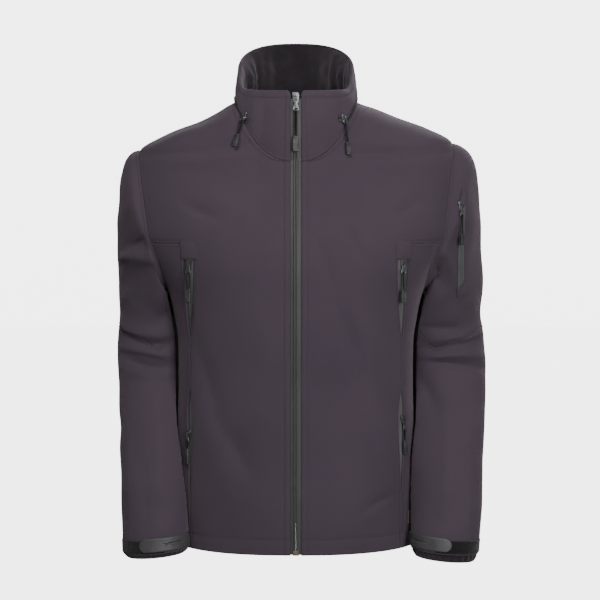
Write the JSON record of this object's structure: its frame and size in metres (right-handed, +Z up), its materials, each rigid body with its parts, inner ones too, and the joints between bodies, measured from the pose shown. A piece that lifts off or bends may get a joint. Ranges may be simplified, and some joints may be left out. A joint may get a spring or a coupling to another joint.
{
  "type": "softshell jacket with a full front zip and a stand-up collar, in its worn form with no wearer",
  "caption": "Zipped softshell jacket with a stand-up collar, hood zip, chest, hand and sleeve pocket zips and adjustable cuffs, hollow as when worn.",
  "frame": {"origin": "middle of the neck's base, on the line through both neck points, where the wearer's shoulders hold the jacket up", "axes": "+Z up along the wearer's back; the front faces -Y; +X is the wearer's left"},
  "size_m": [0.605, 0.265, 0.8204],
  "materials": {
    "cloth": "matt stretch-woven outer face of a laminated softshell, dark plum grey",
    "facing": "soft brushed lining, near black",
    "zip_tape": "laminated zip tape over coil teeth",
    "pocket_tape": "laminated zip tape, lighter grey",
    "loop_strip": "black loop strip",
    "rubber": "moulded matt rubber",
    "metal": "gunmetal",
    "cord": "black braided cord",
    "grip": "moulded dark grey rubber",
    "label": "bare woven label"
  },
  "bodies": {
    "jacket": {"front_left": "cloth", "front_right": "cloth", "side_left": "cloth", "side_right": "cloth", "back": "cloth", "collar_outer": "cloth", "sleeve_upper_left": "cloth", "sleeve_upper_right": "cloth", "sleeve_lower_left": "cloth", "sleeve_lower_right": "cloth", "collar_facing": "facing", "inner_cuff_left": "facing", "inner_cuff_right": "facing", "loop_strip_left": "loop_strip", "loop_strip_right": "loop_strip", "cuff_tab_left": "rubber", "cuff_tab_right": "rubber", "zip_tape_left": "zip_tape", "zip_tape_right": "zip_tape", "hood_zip_tape": "zip_tape", "chest_zip_tape_left": "pocket_tape", "chest_zip_tape_right": "pocket_tape", "hand_zip_tape_left": "pocket_tape", "hand_zip_tape_right": "pocket_tape", "sleeve_zip_tape": "pocket_tape", "label": "label", "zip_end_box": "metal", "main_slider": "metal", "hood_right_slider": "metal", "hood_left_slider": "metal", "chest_right_slider": "metal", "chest_left_slider": "metal", "hand_right_slider": "metal", "hand_left_slider": "metal", "sleeve_slider": "metal"},
    "main_pull": {"main_tab": "metal", "main_cord": "cord", "main_grip": "grip"},
    "hood_right_pull": {"hood_right_tab": "metal", "hood_right_cord": "cord", "hood_right_grip": "grip"},
    "hood_left_pull": {"hood_left_tab": "metal", "hood_left_cord": "cord", "hood_left_grip": "grip"},
    "chest_right_pull": {"chest_right_tab": "metal", "chest_right_cord": "cord", "chest_right_grip": "grip"},
    "chest_left_pull": {"chest_left_tab": "metal", "chest_left_cord": "cord", "chest_left_grip": "grip"},
    "hand_right_pull": {"hand_right_tab": "metal", "hand_right_cord": "cord", "hand_right_grip": "grip"},
    "hand_left_pull": {"hand_left_tab": "metal", "hand_left_cord": "cord", "hand_left_grip": "grip"},
    "sleeve_pull": {"sleeve_tab": "metal", "sleeve_cord": "cord", "sleeve_grip": "grip"}
  },
  "joints": [
    {"name": "main_pull_swing", "type": "hinge", "parent": "jacket", "child": "main_pull", "pos_m": [0, -0.09483, 0.00364], "axis": [-1, 0.0007, 0], "range_deg": [0, 150]},
    {"name": "hood_right_pull_swing", "type": "hinge", "parent": "jacket", "child": "hood_right_pull", "pos_m": [-0.08277, -0.08267, -0.0244], "axis": [-0.7541, 0.6567, 0], "range_deg": [0, 150]},
    {"name": "hood_left_pull_swing", "type": "hinge", "parent": "jacket", "child": "hood_left_pull", "pos_m": [0.07673, -0.08627, -0.02694], "axis": [-0.8919, -0.4522, 0], "range_deg": [0, 150]},
    {"name": "chest_right_pull_swing", "type": "hinge", "parent": "jacket", "child": "chest_right_pull", "pos_m": [-0.16771, -0.10883, -0.25232], "axis": [-0.886, 0.4637, 0], "range_deg": [0, 150]},
    {"name": "chest_left_pull_swing", "type": "hinge", "parent": "jacket", "child": "chest_left_pull", "pos_m": [0.16771, -0.10883, -0.25232], "axis": [-0.886, -0.4637, 0], "range_deg": [0, 150]},
    {"name": "hand_right_pull_swing", "type": "hinge", "parent": "jacket", "child": "hand_right_pull", "pos_m": [-0.17217, -0.07801, -0.52561], "axis": [-0.6269, 0.7791, 0], "range_deg": [0, 150]},
    {"name": "hand_left_pull_swing", "type": "hinge", "parent": "jacket", "child": "hand_left_pull", "pos_m": [0.17171, -0.07559, -0.50264], "axis": [-0.6267, -0.7793, 0], "range_deg": [0, 150]},
    {"name": "sleeve_pull_swing", "type": "hinge", "parent": "jacket", "child": "sleeve_pull", "pos_m": [0.26153, -0.07018, -0.16458], "axis": [-0.8546, -0.5193, 0], "range_deg": [0, 150]}
  ]
}
